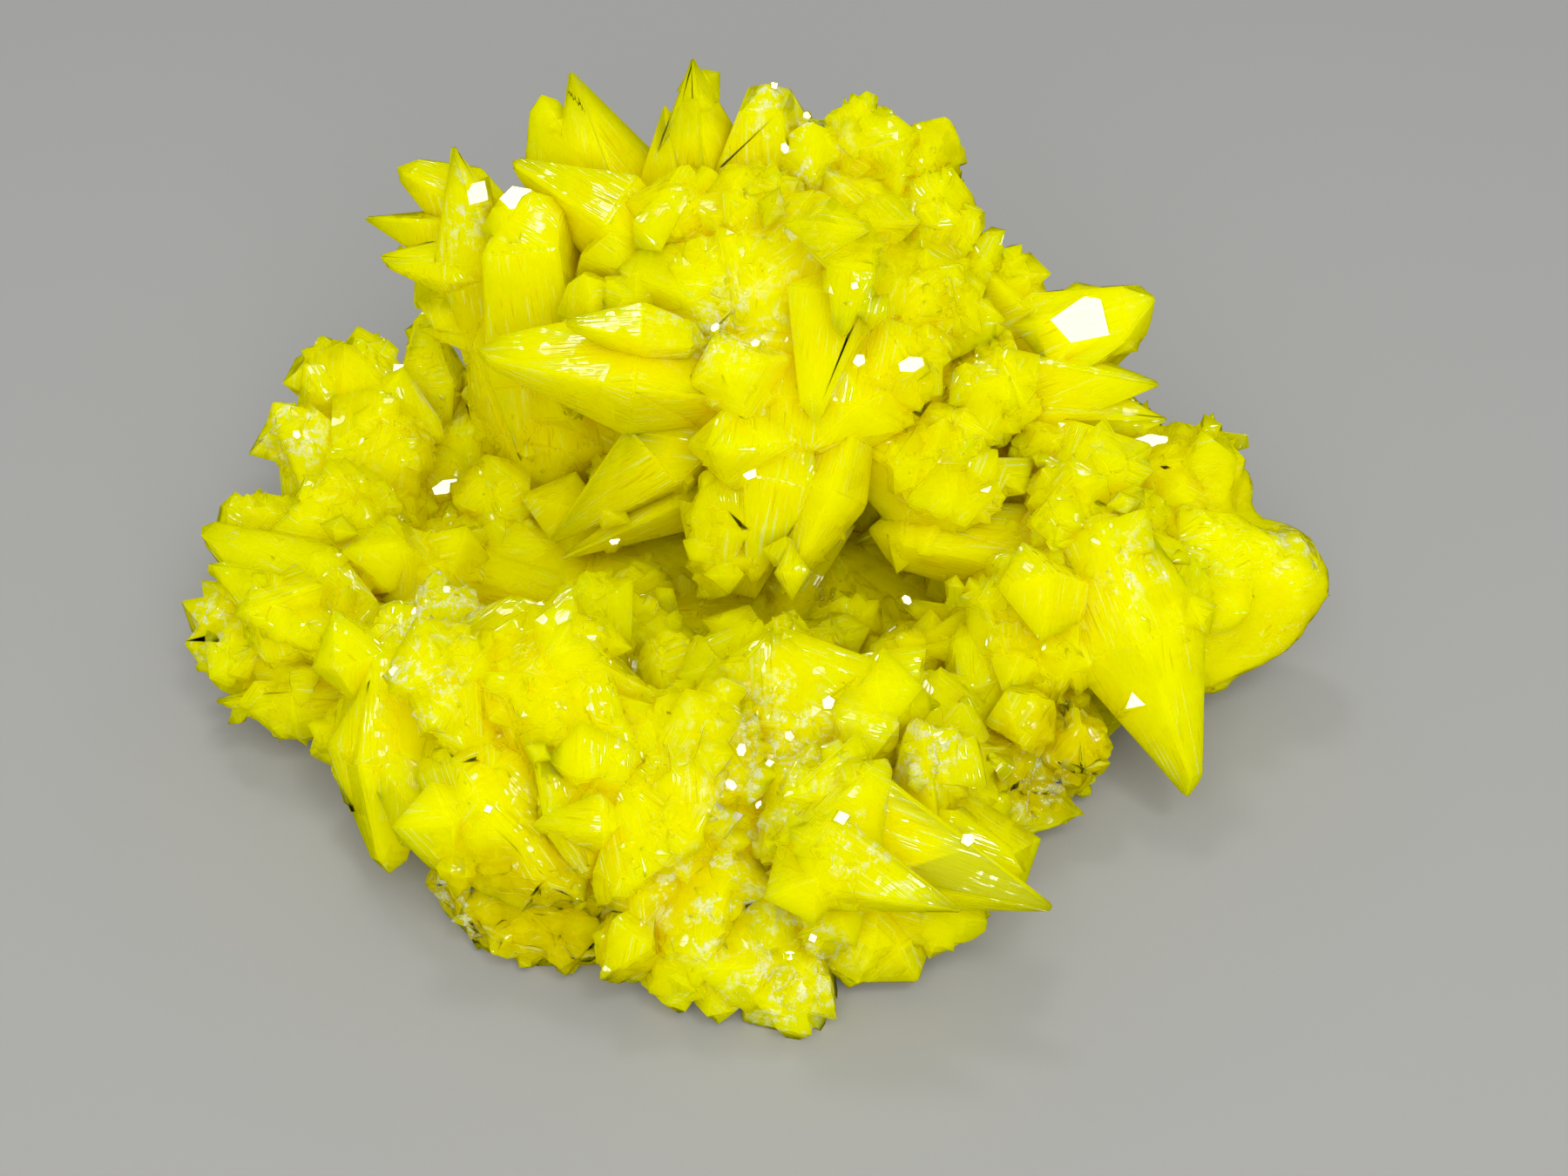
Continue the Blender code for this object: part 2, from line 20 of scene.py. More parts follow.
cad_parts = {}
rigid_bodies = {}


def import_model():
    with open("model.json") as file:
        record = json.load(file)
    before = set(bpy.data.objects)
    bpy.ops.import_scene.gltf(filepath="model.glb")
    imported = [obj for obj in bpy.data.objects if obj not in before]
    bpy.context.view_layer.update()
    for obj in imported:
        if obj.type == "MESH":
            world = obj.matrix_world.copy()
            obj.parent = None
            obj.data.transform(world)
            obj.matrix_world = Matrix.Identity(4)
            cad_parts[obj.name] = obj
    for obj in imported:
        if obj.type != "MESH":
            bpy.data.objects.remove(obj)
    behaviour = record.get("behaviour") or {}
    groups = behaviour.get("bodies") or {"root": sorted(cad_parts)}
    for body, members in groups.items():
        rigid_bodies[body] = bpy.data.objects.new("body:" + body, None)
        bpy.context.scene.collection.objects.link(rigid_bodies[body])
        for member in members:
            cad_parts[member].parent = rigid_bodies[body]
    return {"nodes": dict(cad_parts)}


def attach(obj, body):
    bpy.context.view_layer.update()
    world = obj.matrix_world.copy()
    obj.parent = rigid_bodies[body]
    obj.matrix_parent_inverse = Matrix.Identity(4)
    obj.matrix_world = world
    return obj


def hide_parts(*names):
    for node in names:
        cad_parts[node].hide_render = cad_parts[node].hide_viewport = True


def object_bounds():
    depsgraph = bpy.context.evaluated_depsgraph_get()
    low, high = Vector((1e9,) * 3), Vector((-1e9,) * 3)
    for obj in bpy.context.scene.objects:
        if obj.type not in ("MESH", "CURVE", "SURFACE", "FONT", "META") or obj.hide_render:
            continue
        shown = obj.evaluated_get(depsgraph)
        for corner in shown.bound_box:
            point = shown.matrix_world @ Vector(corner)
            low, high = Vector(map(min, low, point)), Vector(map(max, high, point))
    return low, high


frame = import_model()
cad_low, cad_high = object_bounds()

log = logging.getLogger("sulfur_specimen")

MM = 0.001
NODE = "sulfur_crystal_cluster"
SIDE_SIGNS = ((1, 1), (1, -1), (-1, 1), (-1, -1))


class Habit(Enum):
    """The form of a small crystal: the share of its sharp tip that the shallow faces cut off."""

    POINTED = 0.0
    BLUNT = 0.3
    STUBBY = 0.55


class Grain(Enum):
    """How a patch looks: thick with small crystals, frosted, granular, or worn round."""

    DRUSY = "drusy"
    FROSTED = "frosted"
    GRANULAR = "granular"
    WORN = "worn"


def linear(colour: str) -> tuple[float, float, float, float]:
    """Turn an sRGB hex colour into linear RGBA.

    Args:
        colour: six hex digits, such as "e8dc00".

    Returns:
        The linear red, green, blue and an alpha of 1.
    """
    values = [int(colour[i:i + 2], 16) / 255.0 for i in (0, 2, 4)]
    curve = [v / 12.92 if v <= 0.04045 else ((v + 0.055) / 1.055) ** 2.4 for v in values]
    return (*curve, 1.0)


def add_node(tree: bpy.types.NodeTree, kind: str, settings: dict | None = None,
             links: dict | None = None, **properties: object) -> bpy.types.Node:
    """Add a shader node with its settings and links.

    Args:
        tree: the material's or world's node tree.
        kind: the node's type name, without the leading "ShaderNode".
        settings: input values by socket name or number.
        links: output sockets of other nodes by input socket name or number.
        properties: attributes of the node itself.

    Returns:
        The new node.
    """
    node = tree.nodes.new("ShaderNode" + kind)
    for name, value in properties.items():
        setattr(node, name, value)
    for socket, value in (settings or {}).items():
        node.inputs[socket].default_value = value
    for socket, output in (links or {}).items():
        tree.links.new(output, node.inputs[socket])
    return node


def new_mesh(name: str, bm: bmesh.types.BMesh) -> bpy.types.Mesh:
    """Make a mesh from a bmesh, and free the bmesh."""
    mesh = bpy.data.meshes.new(name)
    bm.to_mesh(mesh)
    bm.free()
    return mesh


def new_object(name: str, bm: bmesh.types.BMesh) -> bpy.types.Object:
    """Make an object at the origin from a bmesh in metres, and free the bmesh."""
    made = bpy.data.objects.new(name, new_mesh(name, bm))
    bpy.context.scene.collection.objects.link(made)
    return made


@dataclass(frozen=True)
class Viewpoint:
    """Where the photograph was taken from, and the ray of each of its pixels."""

    target_mm: tuple[float, float, float] = (0.0, 0.0, 20.0)
    distance_mm: float = 250.0
    elevation: float = math.radians(42.0)
    lens: float = 50.0
    sensor: float = 36.0
    width_px: int = 1800
    height_px: int = 1350

    def back(self) -> Vector:
        """Return the unit vector from the target to the camera."""
        return Vector((0.0, -math.cos(self.elevation), math.sin(self.elevation)))

    def place(self) -> Vector:
        """Return the camera's place in metres."""
        return (Vector(self.target_mm) + self.back() * self.distance_mm) * MM

    def ray(self, pixel: tuple[float, float]) -> Vector:
        """Return the direction in which a pixel looks.

        Args:
            pixel: x to the right and y down, in the frame of 1800 by 1350.

        Returns:
            The unit direction from the camera's place.
        """
        across = Vector((1.0, 0.0, 0.0))
        up = self.back().cross(across)
        per_pixel = self.sensor / self.lens / self.width_px
        right = (pixel[0] - self.width_px / 2.0) * per_pixel
        rise = (self.height_px / 2.0 - pixel[1]) * per_pixel
        return (-self.back() + across * right + up * rise).normalized()

    def hit(self, tree: BVHTree, pixel: tuple[float, float]) -> tuple[Vector, Vector] | None:
        """Return the place and the face normal that a pixel shows, or None beside the specimen."""
        place, normal, _, _ = tree.ray_cast(self.place(), self.ray(pixel))
        return None if place is None else (place, normal)


VIEWPOINT = Viewpoint()


@dataclass(frozen=True)
class Patch:
    """A ball of the surface that has its own grain, with its centre and radius in millimetres."""

    grain: Grain
    centre: tuple[float, float, float]
    radius: float
    steepness: float = 3.0

    def share(self, point: Vector) -> float:
        """Return 1 well inside the patch, 0 outside it, and a slope between them."""
        far = (point - Vector(self.centre)).length / self.radius
        return max(0.0, min(1.0, (1.0 - far) * self.steepness))


@dataclass(frozen=True)
class SeenPatch:
    """A patch that the photograph shows: a pixel in its middle, and its radius in millimetres."""

    grain: Grain
    pixel: tuple[float, float]
    radius: float

    def settle(self, tree: BVHTree) -> list[Patch]:
        """Return the patch where its pixel meets the body."""
        found = VIEWPOINT.hit(tree, self.pixel)
        return [Patch(self.grain, tuple(found[0] / MM), self.radius)] if found else []


SEEN_PATCHES = (
    SeenPatch(Grain.FROSTED, (455, 765), 8),
    SeenPatch(Grain.FROSTED, (505, 690), 7),
    SeenPatch(Grain.FROSTED, (870, 870), 10),
    SeenPatch(Grain.FROSTED, (815, 1035), 7),
    SeenPatch(Grain.FROSTED, (900, 1110), 8),
    SeenPatch(Grain.FROSTED, (840, 385), 7),
    SeenPatch(Grain.FROSTED, (885, 115), 4),
    SeenPatch(Grain.FROSTED, (915, 165), 6),
    SeenPatch(Grain.FROSTED, (990, 970), 4),
    SeenPatch(Grain.FROSTED, (1070, 850), 5),
    SeenPatch(Grain.FROSTED, (1180, 900), 5),
    SeenPatch(Grain.FROSTED, (240, 720), 5),
    SeenPatch(Grain.FROSTED, (340, 500), 5),
    SeenPatch(Grain.FROSTED, (1300, 655), 4),
    SeenPatch(Grain.FROSTED, (1490, 620), 5),
    SeenPatch(Grain.FROSTED, (545, 235), 3),
    SeenPatch(Grain.FROSTED, (910, 280), 4),
    SeenPatch(Grain.FROSTED, (520, 1040), 5),
    SeenPatch(Grain.GRANULAR, (600, 1080), 15),
    SeenPatch(Grain.GRANULAR, (720, 1130), 12),
    SeenPatch(Grain.GRANULAR, (1215, 870), 9),
    SeenPatch(Grain.DRUSY, (900, 260), 14),
    SeenPatch(Grain.DRUSY, (1000, 350), 14),
    SeenPatch(Grain.DRUSY, (870, 400), 10),
    SeenPatch(Grain.DRUSY, (1120, 380), 12),
    SeenPatch(Grain.DRUSY, (1180, 560), 10),
    SeenPatch(Grain.DRUSY, (1160, 700), 10),
    SeenPatch(Grain.DRUSY, (1330, 560), 10),
    SeenPatch(Grain.DRUSY, (430, 530), 14),
    SeenPatch(Grain.DRUSY, (330, 620), 10),
    SeenPatch(Grain.DRUSY, (430, 760), 14),
    SeenPatch(Grain.DRUSY, (820, 900), 16),
    SeenPatch(Grain.DRUSY, (960, 880), 12),
    SeenPatch(Grain.DRUSY, (700, 780), 12),
    SeenPatch(Grain.DRUSY, (880, 1050), 12),
    SeenPatch(Grain.DRUSY, (740, 700), 14),
    SeenPatch(Grain.DRUSY, (620, 560), 12),
    SeenPatch(Grain.DRUSY, (960, 690), 12),
    SeenPatch(Grain.DRUSY, (1050, 700), 10),
    SeenPatch(Grain.DRUSY, (910, 1110), 10),
    SeenPatch(Grain.DRUSY, (545, 850), 8),
    SeenPatch(Grain.DRUSY, (1000, 240), 14),
    SeenPatch(Grain.DRUSY, (820, 300), 12),
    SeenPatch(Grain.DRUSY, (1100, 480), 12),
    SeenPatch(Grain.DRUSY, (1180, 780), 8),
)
PLACED_PATCHES = (
    Patch(Grain.WORN, (60, 6, 14), 17),
    Patch(Grain.GRANULAR, (-22, -26, 3), 22),
    Patch(Grain.GRANULAR, (0, 48, 4), 22),
    Patch(Grain.GRANULAR, (-58, 10, 3), 14),
    Patch(Grain.GRANULAR, (36, 36, 4), 16),
    Patch(Grain.FROSTED, (-50, 46, 16), 8),
    Patch(Grain.FROSTED, (16, 52, 20), 10),
    Patch(Grain.FROSTED, (-30, 52, 14), 9),
    Patch(Grain.FROSTED, (-4, 52, 36), 8),
)


@dataclass(frozen=True)
class Lamp:
    """One square light that faces the specimen: place and size in metres, power in watts."""

    name: str
    place: tuple[float, float, float]
    size: float
    power: float
    mirrored: bool = True

    def hang(self) -> None:
        """Hang the light."""
        data = bpy.data.lights.new(self.name, "AREA")
        data.size = self.size
        data.energy = self.power
        lamp = bpy.data.objects.new(self.name, data)
        lamp.location = self.place
        lamp.rotation_euler = (-Vector(self.place)).to_track_quat("-Z", "Y").to_euler()
        lamp.visible_glossy = self.mirrored
        bpy.context.scene.collection.objects.link(lamp)

    def mirror_normal(self, point: Vector) -> Vector:
        """Return the normal of a face at a point that mirrors this light to the camera."""
        to_light = (Vector(self.place) - point).normalized()
        return (to_light + (VIEWPOINT.place() - point).normalized()).normalized()


KEY_LIGHT = Lamp("key_light", (-0.15, 0.30, 0.80), 0.15, 0.75)
FRONT_LIGHT = Lamp("front_light", (0.20, -0.35, 0.75), 0.15, 0.75)
FILL_LIGHT = Lamp("fill_light", (0.04, -0.86, 0.76), 1.1, 11.0, mirrored=False)
LAMPS = (KEY_LIGHT, FRONT_LIGHT, FILL_LIGHT)


@dataclass(frozen=True)
class Glint:
    """A blunt crystal whose flat end mirrors a light: pixel, length and width in mm, turn, sides.

    Its end stands a little above the body, and its sides flare out towards its root.
    """

    pixel: tuple[float, float]
    length: float
    width: float
    turn: float
    sides: int
    depth_mm: float = 3.0
    lift_mm: float = 0.7
    root_flare: float = 1.9

    @classmethod
    def sparkle(cls, number: int, pixel: tuple[float, float]) -> "Glint":
        """Return an end face about a millimetre wide, whose form goes by its number."""
        return cls(pixel, length=1.0 + 0.2 * (number % 3), width=1.0, turn=17.0 * number,
                   sides=4 + number % 3)

    def settle(self, tree: BVHTree) -> Matrix | None:
        """Return the end face's place and directions on the body, in metres, or None beside it."""
        found = VIEWPOINT.hit(tree, self.pixel)
        if found is None:
            return None
        place, normal = found
        faced = max((KEY_LIGHT, FRONT_LIGHT),
                    key=lambda lamp: lamp.mirror_normal(place).dot(normal))
        up = faced.mirror_normal(place)
        across = (Vector((1.0, 0.0, 0.0)) - up * up.x).normalized()
        turned = Matrix((across, up.cross(across), up)).transposed().to_4x4()
        half_length, half_width = self.length / 2.0 * MM, self.width / 2.0 * MM
        return (Matrix.Translation(place + up * self.lift_mm * MM) @ turned
                @ Matrix.Rotation(math.radians(self.turn), 4, "Z")
                @ Matrix.Diagonal((half_length, half_width, self.depth_mm * MM, 1.0)))

    def form(self) -> bpy.types.Mesh:
        """Return the crystal's closed mesh, its end face at the origin and its body along -Z."""
        bm = bmesh.new()
        bmesh.ops.create_cone(bm, cap_ends=True, segments=self.sides, radius1=self.root_flare,
                              radius2=1.0, depth=1.0)
        bmesh.ops.translate(bm, vec=(0.0, 0.0, -0.5), verts=bm.verts[:])
        return new_mesh("flat_ended", bm)


GLINTS = (
    Glint((594, 231), 4.0, 3.6, 20, 5),
    Glint((547, 223), 3.4, 3.0, 60, 4),
    Glint((1250, 368), 9.5, 5.6, 12, 5),
    Glint((1320, 509), 4.6, 2.0, 5, 6),
    Glint((1367, 602), 4.8, 4.0, 30, 3),
    Glint((1302, 806), 2.8, 2.6, 10, 3),
    Glint((511, 560), 3.8, 1.8, 25, 6),
    Glint((457, 425), 1.8, 1.7, 45, 4),
    Glint((490, 405), 1.6, 1.5, 10, 5),
    Glint((950, 808), 1.6, 1.4, 70, 5),
    Glint((965, 940), 1.7, 1.5, 15, 4),
    Glint((1110, 965), 1.5, 1.4, 40, 5),
    Glint((790, 550), 1.6, 1.4, 80, 4),
    Glint((860, 545), 1.8, 1.5, 25, 5),
    Glint((1045, 420), 3.2, 1.8, 15, 6),
    Glint((985, 415), 1.6, 1.5, 30, 5),
    Glint((700, 660), 1.5, 1.4, 10, 4),
    Glint((1130, 560), 1.6, 1.5, 60, 5),
)
SPARKLES = ((430, 740), (452, 772), (478, 705), (512, 678), (440, 800), (850, 862), (884, 880),
            (905, 846), (838, 902), (870, 925), (862, 1030), (905, 1098), (932, 1078), (868, 398),
            (822, 380), (846, 370), (925, 135), (900, 172), (888, 100), (1080, 850), (1160, 900),
            (310, 400), (250, 482), (705, 622), (1422, 600), (620, 700), (745, 640), (1010, 760),
            (340, 500), (1040, 690), (980, 330), (1090, 410), (1240, 560), (560, 930))


@dataclass
class Ground:
    """The grains of the whole surface, patch by patch, and the faces that mirror a light.

    A point within the mirror share of a face's length lies on that face, and no crystal grows
    nearer to its ends than the clear millimetres.
    """

    patches: list[Patch]
    glints: list[tuple[Glint, Matrix]]
    mirror_share: float = 0.56
    clear_mm: float = 0.8

    @classmethod
    def of(cls, body: bpy.types.Object) -> "Ground":
        """Settle the patches that the photograph shows on a body, and add the placed ones."""
        bm = bmesh.new()
        bm.from_mesh(body.data)
        tree = BVHTree.FromBMesh(bm)
        bm.free()
        patches = [patch for seen in SEEN_PATCHES for patch in seen.settle(tree)]
        sparkles = [Glint.sparkle(number, pixel) for number, pixel in enumerate(SPARKLES)]
        settled = [(glint, glint.settle(tree)) for glint in (*GLINTS, *sparkles)]
        glints = [(glint, place) for glint, place in settled if place]
        return cls(patches + list(PLACED_PATCHES), glints)

    def share(self, point: Vector, grain: Grain) -> float:
        """Return how much of a grain a point in metres has, from 0 to 1."""
        return max((p.share(point / MM) for p in self.patches if p.grain is grain), default=0.0)

    def on_glint(self, point: Vector) -> bool:
        """Return whether a point in metres lies on a mirroring face."""
        return any((place.translation - point).length < self.mirror_share * glint.length * MM
                   for glint, place in self.glints)

    def near_glint(self, point: Vector) -> bool:
        """Return whether a crystal at a point in metres would hide a mirroring face."""
        return any((place.translation - point).length < (0.5 * glint.length + self.clear_mm) * MM
                   for glint, place in self.glints)


@dataclass(frozen=True)
class Hero:
    """A large crystal whose faces stay clean: tip, root and width in millimetres.

    The buried share of its length lies in the body. The girth is the share of its width within
    which a point beside its axis is held to be on it.
    """

    tip: tuple[float, float, float]
    root: tuple[float, float, float]
    width: float
    buried: float = 0.35
    girth: float = 0.6

    def holds(self, point: Vector) -> bool:
        """Return whether a point lies on this crystal."""
        start, along = Vector(self.root), Vector(self.tip) - Vector(self.root)
        share = max(self.buried, min(1.0, (point - start).dot(along) / along.length_squared))
        return (point - start - along * share).length < self.width * self.girth


HEROES = (
    Hero((-10, 39, 66), (-9, 44, 38), 16),
    Hero((-25, 45, 61), (-19, 44, 36), 18),
    Hero((-32, 38, 53), (-14, 32, 45), 15),
    Hero((-30, 31, 53), (-29, 33, 10), 17),
    Hero((-38, 35, 57), (-35, 36, 24), 12),
    Hero((-46, 41, 51), (-33, 38, 44), 11),
    Hero((-48, 33, 43), (-34, 35, 40), 9),
    Hero((-35, 17, 41), (-4, 17, 36), 20),
    Hero((3, 8, 38), (6, 20, 47), 18),
    Hero((43, 24, 43), (24, 30, 28), 17),
    Hero((43, 16, 37), (26, 24, 30), 14),
    Hero((-4, 3, 18), (0, 14, 36), 8),
    Hero((0, 1, 18), (8, 13, 33), 9),
    Hero((-28, 14, 15), (-6, 17, 33), 15),
    Hero((-27, 13, 13), (0, 22, 24), 12),
    Hero((10, 9, 21), (36, 6, 18), 15),
    Hero((46, -20, 7), (35, 1, 29), 10),
    Hero((-69, 11, 20), (-48, -2, 14), 12),
    Hero((-43, -30, 5), (-43, -14, 24), 15),
    Hero((27, -44, 16), (0, -33, 18), 14),
    Hero((-16, 56, 44), (-12, 38, 28), 19),
    Hero((6, 55, 40), (4, 38, 26), 18),
)


@dataclass(frozen=True)
class NativeSulfur:
    """Native sulfur, as it crystallised: brittle, resinous, milky inside and clear at the tips.

    Light passes a few millimetres into it and comes back a strong lemon yellow, its flat faces
    mirror the light because its refractive index is near 2, and its frost is a pale yellow. The
    spans are the noise values between which a pattern sets in.
    """

    name: str = "native_sulfur"
    lemon: str = "f8f800"
    deep: str = "f4ec00"
    # Painted glow: the warmer yellow laid on the hollows, standing in for light that comes back
    # from deep inside.
    painted_hollow_glow: str = "fae600"
    # A darker amber yellow for the granular patches, which lie low on the base.
    darker_granular: str = "dece00"
    lit_line: str = "ffff70"
    shaded_line: str = "d8cc00"
    frost: str = "ffffa8"
    refraction: float = 1.8
    mirror: float = 0.5
    polish: float = 0.07
    frosted_polish: float = 0.28
    clear_from: float = 0.55
    clearness: float = 0.4
    glow_mm: float = 9.0
    glow_by_colour: tuple[float, float, float] = (1.0, 0.85, 0.05)
    strand_mm: float = 0.55
    strand_rate: float = 0.11
    veil_mm: float = 11.0
    lined_mm: float = 7.0
    lining: float = 0.75
    facet_mm: float = 3.4
    chip_mm: float = 1.3
    speck_mm: float = 1.3
    facet_tilt: float = 0.75
    chip_tilt: float = 0.55
    strand_relief_mm: float = 0.13
    calm_below: float = 0.2
    speckle_span: tuple[float, float] = (0.50, 0.57)
    blot_span: tuple[float, float] = (0.42, 0.50)
    veil_span: tuple[float, float] = (0.38, 0.62)
    lined_span: tuple[float, float] = (0.42, 0.58)
    lit_span: tuple[float, float] = (0.58, 0.68)
    shaded_span: tuple[float, float] = (0.40, 0.33)

    def material(self) -> bpy.types.Material:
        """Return the material: patterns lie on Object coordinates and on the map "strands"."""
        made = bpy.data.materials.new(self.name)
        made.use_nodes = True
        tree = made.node_tree
        tree.nodes.clear()
        thin = add_node(tree, "Attribute", attribute_name="thin").outputs["Fac"]
        frost = self.frosting(tree)
        strands = self.strands(tree)
        roughness = add_node(tree, "MapRange", {"To Min": self.polish,
                                                "To Max": self.frosted_polish}, {"Value": frost})
        clear = add_node(tree, "MapRange", {"From Min": self.clear_from,
                                            "To Max": self.clearness}, {"Value": thin})
        shader = add_node(tree, "BsdfPrincipled", {
            "IOR": self.refraction,
            "Specular IOR Level": self.mirror,
            "Subsurface Weight": 1.0,
            "Subsurface Radius": self.glow_by_colour,
            "Subsurface Scale": self.glow_mm * MM,
        }, {
            "Base Color": self.colour(tree, frost, strands),
            "Normal": self.relief(tree, strands),
            "Roughness": roughness.outputs["Result"],
            "Transmission Weight": clear.outputs["Result"],
        })
        add_node(tree, "OutputMaterial", links={"Surface": shader.outputs["BSDF"]})
        return made

    def frosting(self, tree: bpy.types.NodeTree) -> bpy.types.NodeSocket:
        """Return the share of frost: speckles within the frosted patches."""
        where = add_node(tree, "TexCoord").outputs["Object"]
        frosted = add_node(tree, "Attribute", attribute_name="frosted").outputs["Fac"]
        grains = add_node(tree, "TexNoise", {"Scale": 1.0 / (self.speck_mm * MM), "Detail": 4.0,
                                             "Roughness": 0.75}, {"Vector": where}).outputs["Fac"]
        blots = add_node(tree, "TexNoise", {"Scale": 1.0 / (self.facet_mm * MM), "Detail": 1.0},
                         {"Vector": where}).outputs["Fac"]
        speckle = add_node(tree, "MapRange", {"From Min": self.speckle_span[0],
                                              "From Max": self.speckle_span[1]}, {"Value": grains})
        blotted = add_node(tree, "MapRange", {"From Min": self.blot_span[0],
                                              "From Max": self.blot_span[1]}, {"Value": blots})
        share = add_node(tree, "Math", None, {0: speckle.outputs["Result"],
                                              1: blotted.outputs["Result"]}, operation="MULTIPLY")
        return add_node(tree, "Math", None, {0: share.outputs[0], 1: frosted},
                        operation="MULTIPLY").outputs[0]

    def strands(self, tree: bpy.types.NodeTree) -> bpy.types.NodeSocket:
        """Return the fine lines that run along each crystal, as a value around one half."""
        along = add_node(tree, "UVMap", uv_map="strands").outputs["UV"]
        pull = (1.0 / self.strand_mm, self.strand_rate, 1.0)
        stretched = add_node(tree, "Mapping", {"Scale": pull}, {"Vector": along}).outputs["Vector"]
        return add_node(tree, "TexNoise", {"Scale": 1.0, "Detail": 2.0, "Roughness": 0.6},
                        {"Vector": stretched}).outputs["Fac"]

    def colour(self, tree: bpy.types.NodeTree, frost: bpy.types.NodeSocket,
               strands: bpy.types.NodeSocket) -> bpy.types.NodeSocket:
        """Return the colour: milky veils, a painted warm glow in the hollows, a darker yellow on
        the granular patches, lines along the crystals, and frost over them.

        Args:
            tree: the material's node tree.
            frost: the share of frost.
            strands: the lines along the crystals.

        Returns:
            The colour output.
        """
        where = add_node(tree, "TexCoord").outputs["Object"]
        clouds = add_node(tree, "TexNoise", {"Scale": 1.0 / (self.veil_mm * MM), "Detail": 3.0,
                                             "Roughness": 0.6}, {"Vector": where}).outputs["Fac"]
        veils = add_node(tree, "MapRange", {"From Min": self.veil_span[0],
                                            "From Max": self.veil_span[1]}, {"Value": clouds})
        body = add_node(tree, "Mix", {"A": linear(self.deep), "B": linear(self.lemon)},
                        {"Factor": veils.outputs["Result"]}, data_type="RGBA")
        # Painted glow: a warmer yellow is laid on the hollows, standing in for light that comes
        # back from deep inside.
        painted_glow_mask = add_node(tree, "Attribute", attribute_name="painted_glow_mask").outputs["Fac"]
        crumbs = add_node(tree, "Attribute", attribute_name="granular").outputs["Fac"]
        painted_glow_mixed = add_node(tree, "Mix", {"B": linear(self.painted_hollow_glow)},
                          {"Factor": painted_glow_mask, "A": body.outputs["Result"]}, data_type="RGBA")
        # The granular patches, low on the base, get a darker amber yellow.
        ground = add_node(tree, "Mix", {"B": linear(self.darker_granular)},
                          {"Factor": crumbs, "A": painted_glow_mixed.outputs["Result"]}, data_type="RGBA")
        patches = add_node(tree, "TexNoise", {"Scale": 1.0 / (self.lined_mm * MM), "Detail": 2.0},
                           {"Vector": where}).outputs["Fac"]
        streaked = add_node(tree, "MapRange", {"From Min": self.lined_span[0],
                                               "From Max": self.lined_span[1],
                                               "To Max": self.lining},
                            {"Value": patches}).outputs["Result"]
        bright = add_node(tree, "MapRange", {"From Min": self.lit_span[0],
                                             "From Max": self.lit_span[1]}, {"Value": strands})
        dark = add_node(tree, "MapRange", {"From Min": self.shaded_span[0],
                                           "From Max": self.shaded_span[1]}, {"Value": strands})
        bright_share = add_node(tree, "Math", None, {0: bright.outputs["Result"], 1: streaked},
                                operation="MULTIPLY").outputs[0]
        dark_share = add_node(tree, "Math", None, {0: dark.outputs["Result"], 1: streaked},
                              operation="MULTIPLY").outputs[0]
        lit = add_node(tree, "Mix", {"B": linear(self.lit_line)},
                       {"Factor": bright_share, "A": ground.outputs["Result"]}, data_type="RGBA")
        lined = add_node(tree, "Mix", {"B": linear(self.shaded_line)},
                         {"Factor": dark_share, "A": lit.outputs["Result"]}, data_type="RGBA")
        return add_node(tree, "Mix", {"B": linear(self.frost)},
                        {"Factor": frost, "A": lined.outputs["Result"]},
                        data_type="RGBA").outputs["Result"]

    def relief(self, tree: bpy.types.NodeTree,
               strands: bpy.types.NodeSocket) -> bpy.types.NodeSocket:
        """Return the normal: tilted small facets and lines along the crystals.

        Args:
            tree: the material's node tree.
            strands: the lines along the crystals.

        Returns:
            The normal output.
        """
        where = add_node(tree, "TexCoord").outputs["Object"]
        drusy = add_node(tree, "Attribute", attribute_name="drusy").outputs["Fac"]
        heights = []
        for size_mm, tilt in ((self.facet_mm, self.facet_tilt), (self.chip_mm, self.chip_tilt)):
            cells = add_node(tree, "TexVoronoi", {"Scale": 1.0 / (size_mm * MM)}, {"Vector": where})
            inside = add_node(tree, "VectorMath", None, {0: where, 1: cells.outputs["Position"]},
                              operation="SUBTRACT").outputs["Vector"]
            slope = add_node(tree, "VectorMath", {1: (0.5, 0.5, 0.5)}, {0: cells.outputs["Color"]},
                             operation="SUBTRACT").outputs["Vector"]
            plane = add_node(tree, "VectorMath", None, {0: inside, 1: slope},
                             operation="DOT_PRODUCT").outputs["Value"]
            amount = add_node(tree, "Math", {1: tilt}, {0: drusy}, operation="MULTIPLY").outputs[0]
            heights.append(add_node(tree, "Math", None, {0: plane, 1: amount},
                                    operation="MULTIPLY").outputs[0])
        facets = add_node(tree, "Math", None, {0: heights[0], 1: heights[1]},
                          operation="ADD").outputs[0]
        height = add_node(tree, "Math", {1: self.strand_relief_mm * MM}, {0: strands, 2: facets},
                          operation="MULTIPLY_ADD").outputs[0]
        calm = add_node(tree, "MapRange", {"From Max": self.calm_below},
                        {"Value": drusy}).outputs["Result"]
        shown = add_node(tree, "Math", None, {0: height, 1: calm}, operation="MULTIPLY").outputs[0]
        return add_node(tree, "Bump", {"Strength": 1.0, "Distance": 1.0},
                        {"Height": shown}).outputs["Normal"]


